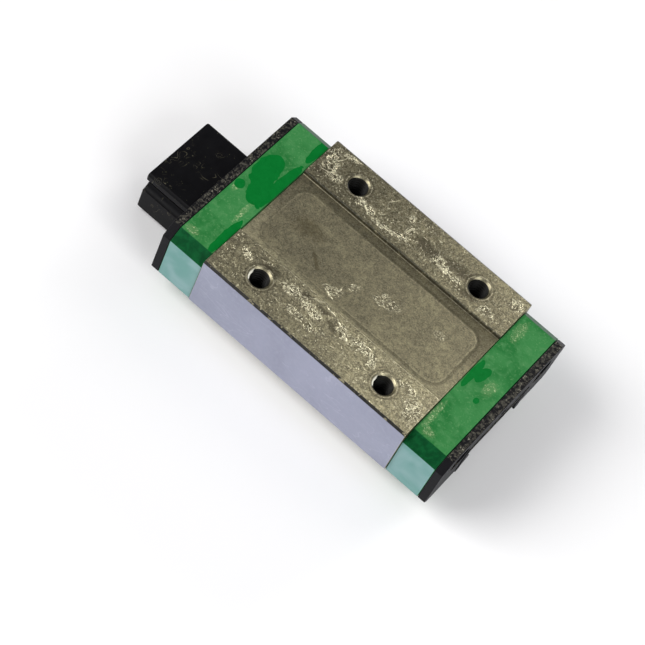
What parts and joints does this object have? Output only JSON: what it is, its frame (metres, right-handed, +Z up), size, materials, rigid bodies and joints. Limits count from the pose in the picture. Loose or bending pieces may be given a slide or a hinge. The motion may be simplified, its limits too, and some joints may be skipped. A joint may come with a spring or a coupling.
{
  "type": "linear guide carriage",
  "caption": "Long flangeless recirculating-ball guide carriage with tapped top pads, green end caps and black end seals, on a short plastic dummy rail.",
  "frame": {"origin": "underside of the rail, on its centre line, below the middle of the carriage", "axes": "+X along the travel, away from the end where the dummy rail sticks out; +Y across; +Z up, out of the mounting pads"},
  "size_m": [0.0533, 0.027, 0.013],
  "materials": {
    "ground_steel": "fine ground steel under a thin film of preserving oil, grey-brown, with paler smears on the pads",
    "ball_steel": "polished bearing balls with a trace of oil",
    "screw_steel": "bright plated cross-recess screws",
    "wire_steel": "drawn spring wire",
    "green_plastic": "injection moulded, satin, wet with oil in patches",
    "guide_plastic": "natural moulded plastic",
    "seal_rubber": "black rubber, slightly oily",
    "rail_plastic": "black moulded plastic, oily, with fine scuffs"
  },
  "bodies": {
    "carriage": {"carriage_block": "ground_steel", "end_cap_rear": "green_plastic", "end_cap_front": "green_plastic", "end_seal_rear": "seal_rubber", "end_seal_front": "seal_rubber", "return_guide_rear_left": "guide_plastic", "return_guide_rear_right": "guide_plastic", "return_guide_front_left": "guide_plastic", "return_guide_front_right": "guide_plastic", "end_screw_rear_left": "screw_steel", "end_screw_rear_right": "screw_steel", "end_screw_front_left": "screw_steel", "end_screw_front_right": "screw_steel", "retainer_wire_left": "wire_steel", "retainer_wire_right": "wire_steel"},
    "dummy_rail": {"dummy_rail": "rail_plastic"},
    "load_row_left": {"load_ball_left_01": "ball_steel", "load_ball_left_02": "ball_steel", "load_ball_left_03": "ball_steel", "load_ball_left_04": "ball_steel", "load_ball_left_05": "ball_steel", "load_ball_left_06": "ball_steel", "load_ball_left_07": "ball_steel", "load_ball_left_08": "ball_steel", "load_ball_left_09": "ball_steel", "load_ball_left_10": "ball_steel", "load_ball_left_11": "ball_steel", "load_ball_left_12": "ball_steel", "load_ball_left_13": "ball_steel"},
    "return_row_left": {"return_row_left": "ball_steel"},
    "turn_rear_left": {"turn_ball_rear_left_1": "ball_steel", "turn_ball_rear_left_2": "ball_steel", "turn_ball_rear_left_3": "ball_steel"},
    "turn_front_left": {"turn_ball_front_left_1": "ball_steel", "turn_ball_front_left_2": "ball_steel", "turn_ball_front_left_3": "ball_steel"},
    "load_row_right": {"load_ball_right_01": "ball_steel", "load_ball_right_02": "ball_steel", "load_ball_right_03": "ball_steel", "load_ball_right_04": "ball_steel", "load_ball_right_05": "ball_steel", "load_ball_right_06": "ball_steel", "load_ball_right_07": "ball_steel", "load_ball_right_08": "ball_steel", "load_ball_right_09": "ball_steel", "load_ball_right_10": "ball_steel", "load_ball_right_11": "ball_steel", "load_ball_right_12": "ball_steel", "load_ball_right_13": "ball_steel"},
    "return_row_right": {"return_row_right": "ball_steel"},
    "turn_rear_right": {"turn_ball_rear_right_1": "ball_steel", "turn_ball_rear_right_2": "ball_steel", "turn_ball_rear_right_3": "ball_steel"},
    "turn_front_right": {"turn_ball_front_right_1": "ball_steel", "turn_ball_front_right_2": "ball_steel", "turn_ball_front_right_3": "ball_steel"}
  },
  "joints": [
    {"name": "rail_slide", "type": "slide", "parent": "carriage", "child": "dummy_rail", "axis": [1, 0, 0], "range_m": [-0.046, 0.055]},
    {"name": "load_row_left_slide", "type": "slide", "parent": "carriage", "child": "load_row_left", "axis": [1, 0, 0], "range_m": [-0.00127, 0.00127]},
    {"name": "return_row_left_slide", "type": "slide", "parent": "carriage", "child": "return_row_left", "axis": [1, 0, 0], "range_m": [-0.00127, 0.00127]},
    {"name": "turn_rear_left_pivot", "type": "hinge", "parent": "carriage", "child": "turn_rear_left", "pos_m": [-0.01647, 0.00872, 0.0056], "axis": [0, 0, 1], "range_deg": [-30.1, 30.1]},
    {"name": "turn_front_left_pivot", "type": "hinge", "parent": "carriage", "child": "turn_front_left", "pos_m": [0.01647, 0.00872, 0.0056], "axis": [0, 0, 1], "range_deg": [-30.1, 30.1]},
    {"name": "load_row_right_slide", "type": "slide", "parent": "carriage", "child": "load_row_right", "axis": [1, 0, 0], "range_m": [-0.00127, 0.00127]},
    {"name": "return_row_right_slide", "type": "slide", "parent": "carriage", "child": "return_row_right", "axis": [1, 0, 0], "range_m": [-0.00127, 0.00127]},
    {"name": "turn_rear_right_pivot", "type": "hinge", "parent": "carriage", "child": "turn_rear_right", "pos_m": [-0.01647, -0.00872, 0.0056], "axis": [0, 0, 1], "range_deg": [-30.1, 30.1]},
    {"name": "turn_front_right_pivot", "type": "hinge", "parent": "carriage", "child": "turn_front_right", "pos_m": [0.01647, -0.00872, 0.0056], "axis": [0, 0, 1], "range_deg": [-30.1, 30.1]}
  ],
  "couplings": [
    {"joint": "return_row_left_slide", "follows": "load_row_left_slide", "ratio": -1},
    {"joint": "turn_rear_left_pivot", "follows": "load_row_left_slide", "rad_per_m": 413.22},
    {"joint": "turn_front_left_pivot", "follows": "load_row_left_slide", "rad_per_m": 413.22},
    {"joint": "return_row_right_slide", "follows": "load_row_right_slide", "ratio": -1},
    {"joint": "turn_rear_right_pivot", "follows": "load_row_right_slide", "rad_per_m": -413.22},
    {"joint": "turn_front_right_pivot", "follows": "load_row_right_slide", "rad_per_m": -413.22}
  ]
}
